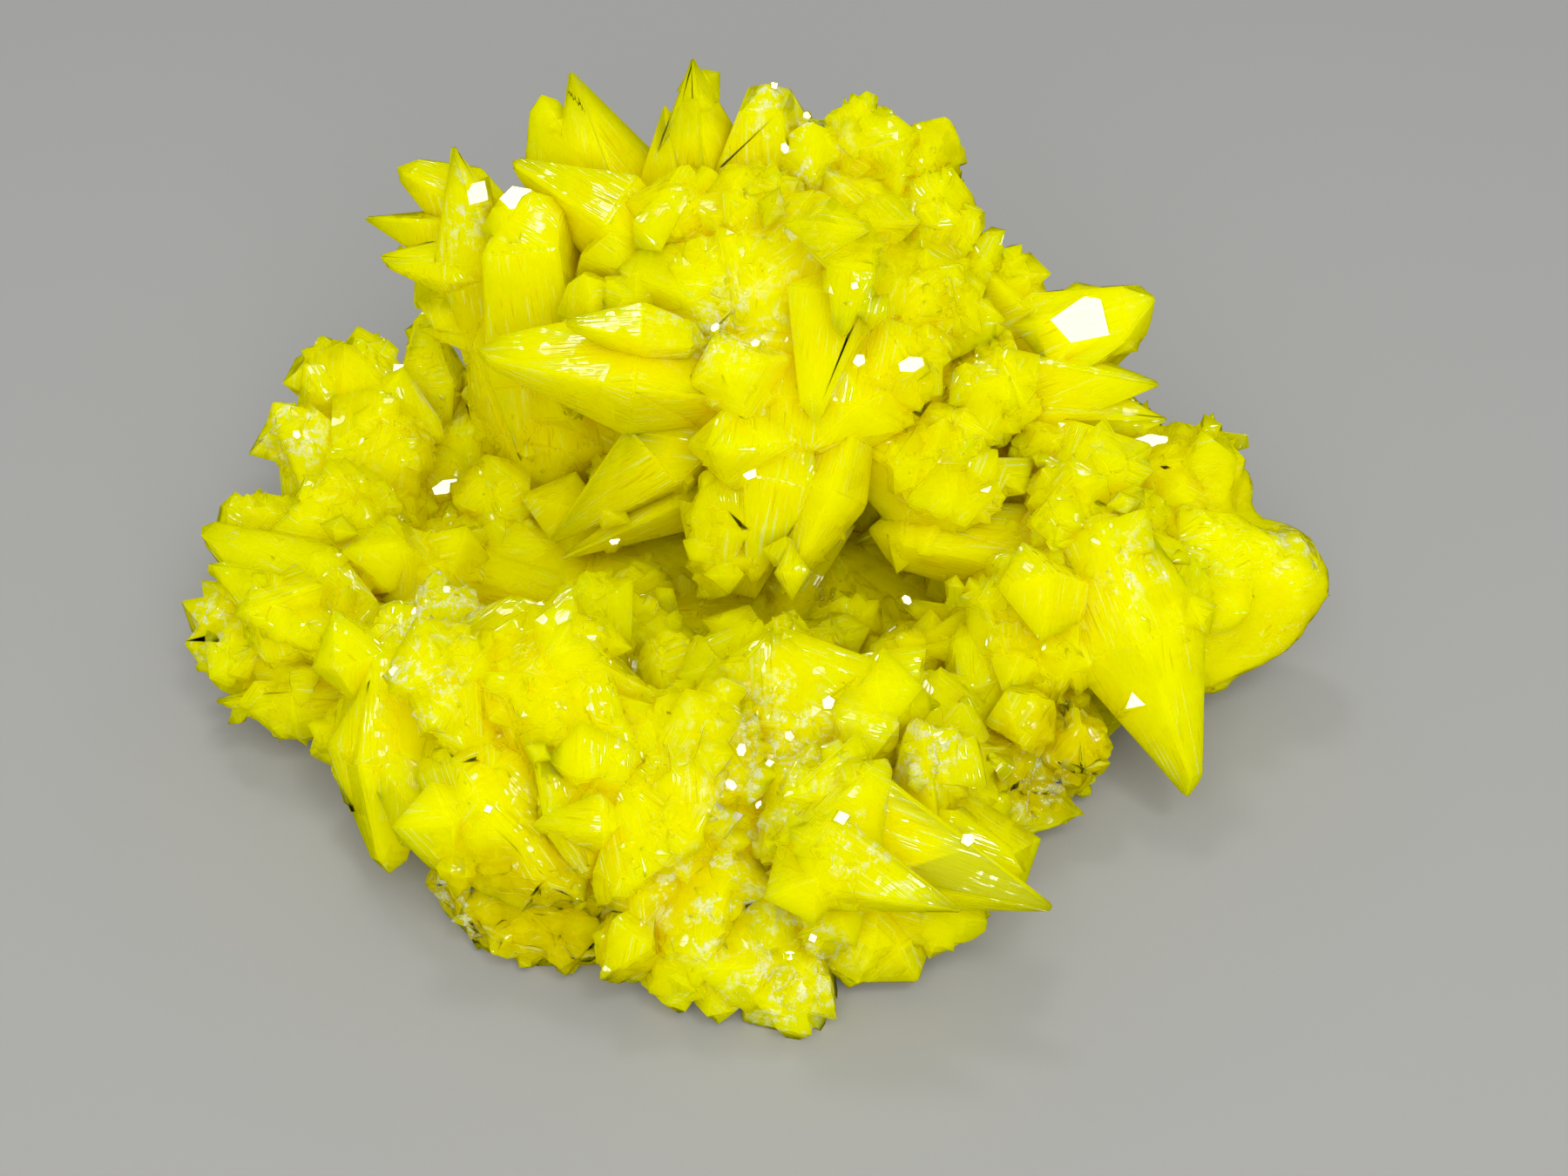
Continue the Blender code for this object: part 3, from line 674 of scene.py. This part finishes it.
@dataclass
class Cluster:
    """The cluster's body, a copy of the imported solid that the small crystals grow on."""

    weld: float = 0.00002
    flat_angle: float = math.radians(1.5)
    stepped_from: float = 10e-6
    step_width: float = 0.00035
    step_height: float = 0.00022
    steps_apart: float = 3.0
    level: float = 0.99

    def build(self) -> bpy.types.Object:
        """Copy the solid, weld it, clear its flat faces of inner edges and raise their steps."""
        bm = bmesh.new()
        bm.from_mesh(frame["nodes"][NODE].data)
        bmesh.ops.remove_doubles(bm, verts=bm.verts[:], dist=self.weld)
        bmesh.ops.dissolve_limit(bm, angle_limit=self.flat_angle, verts=bm.verts[:],
                                 edges=bm.edges[:])
        self.raise_steps(bm)
        return new_object("sulfur_crystals", bm)

    def raise_steps(self, bm: bmesh.types.BMesh) -> None:
        """Raise the middle of each wide face a little, as growth leaves it.

        Args:
            bm: the body's mesh.
        """
        wide = [face for face in bm.faces if self.is_wide(face)]
        bmesh.ops.inset_individual(bm, faces=wide, thickness=self.step_width,
                                   depth=self.step_height, use_even_offset=False)

    def is_wide(self, face: bmesh.types.BMFace) -> bool:
        """Return whether a face has room for a step along all of its edges."""
        around = sum(edge.calc_length() for edge in face.edges)
        room = 2.0 * face.calc_area() / around
        resting = face.normal.z < -self.level and face.calc_center_median().z < MM
        roomy = face.calc_area() > self.stepped_from and room > self.steps_apart * self.step_width
        return roomy and not resting


@dataclass(frozen=True)
class Growth:
    """One generation of small crystals: how many, how wide, and how far they stand out."""

    name: str
    count: int
    widths_mm: tuple[float, float]
    reach: float
    lean: float
    on_heroes: float
    habits: tuple[Habit, ...]


GROWTHS = (
    Growth("knobbly", 900, (3.5, 7.5), 0.22, 0.3, 0.0, (Habit.BLUNT, Habit.STUBBY)),
    Growth("medium", 2300, (2.0, 4.2), 0.28, 0.5, 0.05, (Habit.POINTED, Habit.BLUNT, Habit.STUBBY)),
    Growth("fine", 3000, (1.0, 2.2), 0.34, 0.6, 0.04, (Habit.POINTED, Habit.BLUNT, Habit.STUBBY)),
)


@dataclass
class Druse:
    """The small crystals that grow on the body, with the same habit as the large ones."""

    seed: int = 12
    slender: float = 1.05
    shallow_rise: float = 0.7
    body_length: float = 1.2
    flatness: tuple[float, float] = (0.65, 0.95)
    front_offset: float = 1.1
    uneven: float = 0.08
    block: float = 6.0
    weld: float = 0.002
    forms: int = 5
    room_mm: float = 0.8
    lowest_mm: float = 1.0
    lean_share: float = 0.6
    least_upright: float = 0.3
    drusy_from: float = 0.3
    drusy_weight: float = 3.0
    drusy_allowance: float = 4.0
    cutter: float = 0.4
    templates: dict[Habit, list[bpy.types.Mesh]] = field(default_factory=dict, init=False)

    def form(self, rng: random.Random, habit: Habit) -> bpy.types.Mesh:
        """Cut one crystal of width 1 from a cube, its tip at the origin and its body along -Z.

        Args:
            rng: the seeded source of its uneven growth.
            habit: how blunt it is.

        Returns:
            The closed mesh.
        """
        flat = rng.uniform(*self.flatness)
        height = self.slender * (1.0 - habit.value)
        planes = []
        for sx, sy in SIDE_SIGNS:
            planes.append((Vector((2.0 * sx, 2.0 * sy / flat, 1.0 / self.slender)), 1.0))
            if habit is not Habit.POINTED:
                slope = 1.0 / self.shallow_rise
                planes.append((Vector((sx, sy / flat, slope)) / (slope * height), 1.0))
        planes.append((Vector((0.0, 2.0 / flat, 1.0 / self.slender)), self.front_offset))
        bm = bmesh.new()
        bmesh.ops.create_cube(bm, size=self.block)
        for normal, offset in planes:
            grown = offset * (1.0 + rng.uniform(-self.uneven, self.uneven)) / normal.length
            self.cut(bm, normal, normal.normalized() * grown)
        for sx, sy in SIDE_SIGNS:
            self.cut(bm, Vector((sx, sy / flat, -1.0 / self.shallow_rise)),
                     Vector((0.0, 0.0, -self.body_length)))
        bmesh.ops.recalc_face_normals(bm, faces=bm.faces[:])
        top = max(vert.co.z for vert in bm.verts)
        bmesh.ops.translate(bm, vec=(0.0, 0.0, -top), verts=bm.verts[:])
        return new_mesh(f"form_{habit.name.lower()}", bm)

    def cut(self, bm: bmesh.types.BMesh, normal: Vector, point: Vector) -> None:
        """Cut a convex bmesh with a plane and keep what lies behind it, closed."""
        whole = bm.verts[:] + bm.edges[:] + bm.faces[:]
        bmesh.ops.bisect_plane(bm, geom=whole, plane_co=point, plane_no=normal, clear_outer=True)
        bmesh.ops.remove_doubles(bm, verts=bm.verts[:], dist=self.weld)
        bmesh.ops.holes_fill(bm, edges=[edge for edge in bm.edges if edge.is_boundary])

    def grow(self, body: bpy.types.Object, ground: Ground) -> bpy.types.Object:
        """Grow all generations on the body and join them with it.

        Args:
            body: the cluster's body, which becomes the whole.
            ground: where the surface is drusy or mirrors a light.

        Returns:
            The body, with its small crystals.
        """
        rng = random.Random(self.seed)
        for habit in Habit:
            self.templates[habit] = [self.form(rng, habit) for _ in range(self.forms)]
        grown = bpy.data.collections.new("small_crystals")
        bpy.context.scene.collection.children.link(grown)
        body.data.calc_loop_triangles()
        verts, triangles = body.data.vertices, body.data.loop_triangles
        corners = [[verts[i].co.copy() for i in tri.vertices] for tri in triangles]
        normals = [tri.normal.copy() for tri in triangles]
        drusy = [ground.share(sum(spots, Vector()) / 3.0, Grain.DRUSY) for spots in corners]
        areas = [tri.area * (1.0 + self.drusy_weight * share)
                 for tri, share in zip(triangles, drusy)]
        for growth in GROWTHS:
            picks = rng.choices(range(len(areas)), weights=areas, k=growth.count)
            for pick in picks:
                self.plant(rng, growth, corners[pick], normals[pick], grown, ground)
        for glint, place in ground.glints:
            made = bpy.data.objects.new("flat_ended", glint.form())
            made.matrix_world = place
            grown.objects.link(made)
        self.join(body, grown)
        return body

    def plant(self, rng: random.Random, growth: Growth, corners: list[Vector], normal: Vector,
              grown: bpy.types.Collection, ground: Ground) -> None:
        """Stand one small crystal on a triangle of the body, if it has room there.

        Args:
            rng: the seeded source of its place and form.
            growth: the generation that it is one of.
            corners: the triangle's three corners.
            normal: the triangle's normal.
            grown: the collection that it joins.
            ground: where the surface is drusy or mirrors a light.
        """
        u, v = rng.random(), rng.random()
        if u + v > 1.0:
            u, v = 1.0 - u, 1.0 - v
        spot = corners[0] + (corners[1] - corners[0]) * u + (corners[2] - corners[0]) * v
        lean = Vector((rng.gauss(0, 1), rng.gauss(0, 1), rng.gauss(0, 1))) * growth.lean
        axis = (normal + lean * self.lean_share).normalized()
        width = rng.uniform(*growth.widths_mm) * MM
        mesh = rng.choice(self.templates[rng.choice(growth.habits)])
        turn = rng.uniform(0.0, math.tau)
        kept = rng.random()
        tip = spot + axis * (width * growth.reach)
        low, high = (Vector(corner) for corner in (cad_low, cad_high))
        room = self.room_mm * MM
        if any(tip[i] < low[i] - room or tip[i] > high[i] + room for i in range(3)):
            return
        if spot.z < self.lowest_mm * MM or axis.dot(normal) < self.least_upright:
            return
        if ground.near_glint(spot):
            return
        on_hero = any(hero.holds(spot / MM) for hero in HEROES)
        drusy = ground.share(spot, Grain.DRUSY) > self.drusy_from
        if on_hero and kept > growth.on_heroes * (self.drusy_allowance if drusy else 1.0):
            return
        made = bpy.data.objects.new("small_crystal", mesh)
        to_axis = axis.to_track_quat("Z", "Y").to_matrix().to_4x4()
        made.matrix_world = (Matrix.Translation(tip) @ to_axis @ Matrix.Rotation(turn, 4, "Z")
                             @ Matrix.Scale(width, 4))
        grown.objects.link(made)

    def join(self, body: bpy.types.Object, grown: bpy.types.Collection) -> None:
        """Join the small crystals with the body in one mesh, flat below."""
        union = body.modifiers.new("grown_together", "BOOLEAN")
        union.operation = "UNION"
        union.operand_type = "COLLECTION"
        union.collection = grown
        union.solver = "MANIFOLD"
        bm = bmesh.new()
        bmesh.ops.create_cube(bm, size=self.cutter)
        bmesh.ops.translate(bm, vec=(0.0, 0.0, -self.cutter / 2.0), verts=bm.verts[:])
        block = new_object("rest_cut", bm)
        cut = body.modifiers.new("flat_rest", "BOOLEAN")
        cut.operation = "DIFFERENCE"
        cut.object = block
        cut.solver = "MANIFOLD"
        graph = bpy.context.evaluated_depsgraph_get()
        whole = bpy.data.meshes.new_from_object(body.evaluated_get(graph))
        body.modifiers.clear()
        body.data = whole
        for made in list(grown.objects) + [block]:
            bpy.data.objects.remove(made, do_unlink=True)
        bpy.data.collections.remove(grown)


@dataclass
class Skin:
    """The outer skin: crumbly or worn in places, with its thickness and frost marked, and its
    hollows marked for a painted glow.
    """

    ground: Ground
    longest_edge_mm: float = 1.5
    cut_rounds: int = 4
    crumb_mm: float = 1.1
    crumb_wave_mm: float = 3.0
    rest_rim: float = 0.0003
    wear_rounds: int = 30
    wear_step: float = 0.6
    lobe_direction: tuple[float, float, float] = (1.0, -0.12, 0.0)
    thick_mm: float = 12.0
    # How far the rays for the painted glow's mask reach.
    painted_glow_reach_mm: float = 22.0
    inner_gap: float = 0.0001
    outer_gap: float = 0.0008
    side_openings: tuple[tuple[float, float, float], ...] = ((-0.8, 0.0, 0.6), (0.8, 0.0, 0.6))
    worn_from: float = 0.3
    calm_facets: float = 0.22
    lively_facets: float = 0.7
    least_length: float = 1e-9

    def dress(self, piece: bpy.types.Object) -> None:
        """Roughen the granular patches, round the worn ones and mark the whole skin."""
        bm = bmesh.new()
        bm.from_mesh(piece.data)
        log.info("skin: %d faces, %d open edges", len(bm.faces),
                 sum(1 for edge in bm.edges if not edge.is_manifold))
        self.map_strands(bm)
        self.crumble(bm)
        self.wear(bm)
        self.cut_in_triangles(bm)
        self.mark(bm)
        bm.to_mesh(piece.data)
        bm.free()

    def map_strands(self, bm: bmesh.types.BMesh) -> None:
        """Map each face in millimetres, with v along its crystal's axis or its own longest edge."""
        layer = bm.loops.layers.uv.new("strands")
        for face in bm.faces:
            middle = face.calc_center_median()
            hero = next((h for h in HEROES if h.holds(middle / MM)), None)
            if hero:
                axis = Vector(hero.tip) - Vector(hero.root)
            elif self.ground.share(middle, Grain.WORN) > 0.0:
                axis = Vector(self.lobe_direction)
            else:
                edge = max(face.edges, key=lambda e: e.calc_length())
                axis = edge.verts[1].co - edge.verts[0].co
            along = axis - face.normal * axis.dot(face.normal)
            if along.length < self.least_length:
                along = face.normal.orthogonal()
            along.normalize()
            across = face.normal.cross(along)
            for loop in face.loops:
                loop[layer].uv = (loop.vert.co.dot(across) / MM, loop.vert.co.dot(along) / MM)

    @staticmethod
    def cut_in_triangles(bm: bmesh.types.BMesh) -> None:
        """Cut each face in triangles, and take out pairs that lie back to back."""
        bmesh.ops.triangulate(bm, faces=bm.faces[:])
        piles: dict[frozenset, list] = {}
        for face in bm.faces:
            piles.setdefault(frozenset(face.verts), []).append(face)
        twins = [face for pile in piles.values() for face in pile[:len(pile) // 2 * 2]]
        bmesh.ops.delete(bm, geom=twins, context="FACES")

    def crumble(self, bm: bmesh.types.BMesh) -> None:
        """Subdivide the granular and worn patches, and push the granular points in and out."""
        self.cut_in_triangles(bm)
        for _ in range(self.cut_rounds):
            long_edges = [edge for edge in bm.edges
                          if edge.calc_length() > self.longest_edge_mm * MM
                          and self.is_fine((edge.verts[0].co + edge.verts[1].co) / 2.0)]
            if not long_edges:
                break
            bmesh.ops.subdivide_edges(bm, edges=long_edges, cuts=1)
            self.cut_in_triangles(bm)
        bm.normal_update()
        moves = []
        for vert in bm.verts:
            share = self.ground.share(vert.co, Grain.GRANULAR)
            if share > 0.0 and vert.co.z > self.rest_rim:
                waves = noise.multi_fractal(vert.co / MM / self.crumb_wave_mm, 1.0, 2.0, 4) - 1.0
                moves.append((vert, vert.normal * (waves * share * self.crumb_mm * MM)))
        for vert, move in moves:
            vert.co += move
            vert.co.z = max(vert.co.z, 0.0)

    def is_fine(self, point: Vector) -> bool:
        """Return whether a point lies in a patch whose mesh is made finer."""
        return any(self.ground.share(point, grain) > 0.0
                   for grain in (Grain.GRANULAR, Grain.WORN))

    def wear(self, bm: bmesh.types.BMesh) -> None:
        """Round the worn patches: each point is drawn towards its neighbours, round after round."""
        worn = [(vert, self.ground.share(vert.co, Grain.WORN)) for vert in bm.verts]
        worn = [(vert, share) for vert, share in worn if share > 0.0]
        for _ in range(self.wear_rounds):
            places = []
            for vert, share in worn:
                around = [edge.other_vert(vert).co for edge in vert.link_edges]
                middle = sum(around, Vector()) / len(around)
                places.append(vert.co.lerp(middle, self.wear_step * share))
            for (vert, _), place in zip(worn, places):
                vert.co = place
        for vert, _ in worn:
            for face in vert.link_faces:
                face.smooth = True

    def mark(self, bm: bmesh.types.BMesh) -> None:
        """Write the point attributes "thin", "frosted", "granular", "drusy", and the mask of the
        painted glow in the hollows.
        """
        bm.normal_update()
        tree = BVHTree.FromBMesh(bm)
        layers = {name: bm.verts.layers.float.new(name)
                  for name in ("thin", "frosted", "granular", "drusy", "painted_glow_mask")}
        ways_out = [Vector(lamp.place).normalized() for lamp in LAMPS]
        ways_out += [Vector(way) for way in self.side_openings]
        thick, far = self.thick_mm * MM, self.painted_glow_reach_mm * MM
        for vert in bm.verts:
            inward = -vert.normal
            hit = tree.ray_cast(vert.co + inward * self.inner_gap, inward, thick)
            depth = hit[3] if hit[0] is not None else thick
            vert[layers["thin"]] = max(0.0, 1.0 - depth / thick)
            vert[layers["frosted"]] = self.ground.share(vert.co, Grain.FROSTED)
            vert[layers["granular"]] = self.ground.share(vert.co, Grain.GRANULAR)
            vert[layers["drusy"]] = self.liveliness(vert.co, vert[layers["frosted"]])
            # Mask of the painted glow: the share of the ways out, towards the lamps and the open
            # sides, that the body shuts off.
            start = vert.co + vert.normal * self.outer_gap
            shut = [way for way in ways_out if tree.ray_cast(start, way, far)[0] is not None]
            vert[layers["painted_glow_mask"]] = len(shut) / len(ways_out)

    def liveliness(self, point: Vector, frosted: float) -> float:
        """Return how tilted the small facets are at a point: none where a face mirrors a light."""
        if self.ground.on_glint(point):
            return 0.0
        clean = any(hero.holds(point / MM) for hero in HEROES)
        worn = self.ground.share(point, Grain.WORN) > self.worn_from
        return max(self.calm_facets if clean or worn else self.lively_facets, frosted)


@dataclass(frozen=True)
class Studio:
    """The plain pale floor, the soft lights and the camera."""

    floor_colour: str = "a8a8a6"
    floor_roughness: float = 0.9
    floor_half: float = 3.0
    nearest: float = 0.01
    surround: float = 0.45

    def place_camera(self) -> None:
        """Place the camera at the photograph's viewing angle."""
        data = bpy.data.cameras.new("view")
        data.lens = VIEWPOINT.lens
        data.sensor_width = VIEWPOINT.sensor
        data.clip_start = self.nearest
        camera = bpy.data.objects.new("view", data)
        camera.location = VIEWPOINT.place()
        camera.rotation_euler = (-VIEWPOINT.back()).to_track_quat("-Z", "Y").to_euler()
        bpy.context.scene.collection.objects.link(camera)
        bpy.context.scene.camera = camera

    def lay_floor(self) -> None:
        """Lay the plain pale floor."""
        bm = bmesh.new()
        bmesh.ops.create_grid(bm, x_segments=1, y_segments=1, size=self.floor_half)
        floor = new_object("floor", bm)
        made = bpy.data.materials.new("matt_card")
        made.use_nodes = True
        shader = made.node_tree.nodes["Principled BSDF"]
        shader.inputs["Base Color"].default_value = linear(self.floor_colour)
        shader.inputs["Roughness"].default_value = self.floor_roughness
        floor.data.materials.append(made)
        floor.visible_glossy = False

    def light(self) -> None:
        """Hang the soft lights and set the even surrounding light."""
        for lamp in LAMPS:
            lamp.hang()
        world = bpy.data.worlds.new("studio")
        world.use_nodes = True
        background = world.node_tree.nodes["Background"]
        background.inputs["Color"].default_value = (1.0, 1.0, 1.0, 1.0)
        background.inputs["Strength"].default_value = self.surround
        world.cycles_visibility.glossy = False
        bpy.context.scene.world = world

    @staticmethod
    def set_view() -> None:
        """Show colours as they are, and limit how often light bounces."""
        scene = bpy.context.scene
        scene.view_settings.view_transform = "Standard"
        scene.cycles.max_bounces = 5
        scene.cycles.transmission_bounces = 3
        scene.cycles.glossy_bounces = 2
        scene.cycles.diffuse_bounces = 3


def main() -> None:
    """Build the specimen and its studio, and report each piece."""
    logging.basicConfig(level=logging.INFO, format="%(message)s")
    studio = Studio()
    studio.place_camera()
    studio.lay_floor()
    studio.light()
    studio.set_view()
    piece = Cluster().build()
    ground = Ground.of(piece)
    Druse().grow(piece, ground)
    Skin(ground).dress(piece)
    piece.data.materials.clear()
    piece.data.materials.append(NativeSulfur().material())
    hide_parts(NODE)
    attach(piece, "root")
    log.info("%s: %d faces", piece.name, len(piece.data.polygons))


if __name__ == "__main__":
    main()
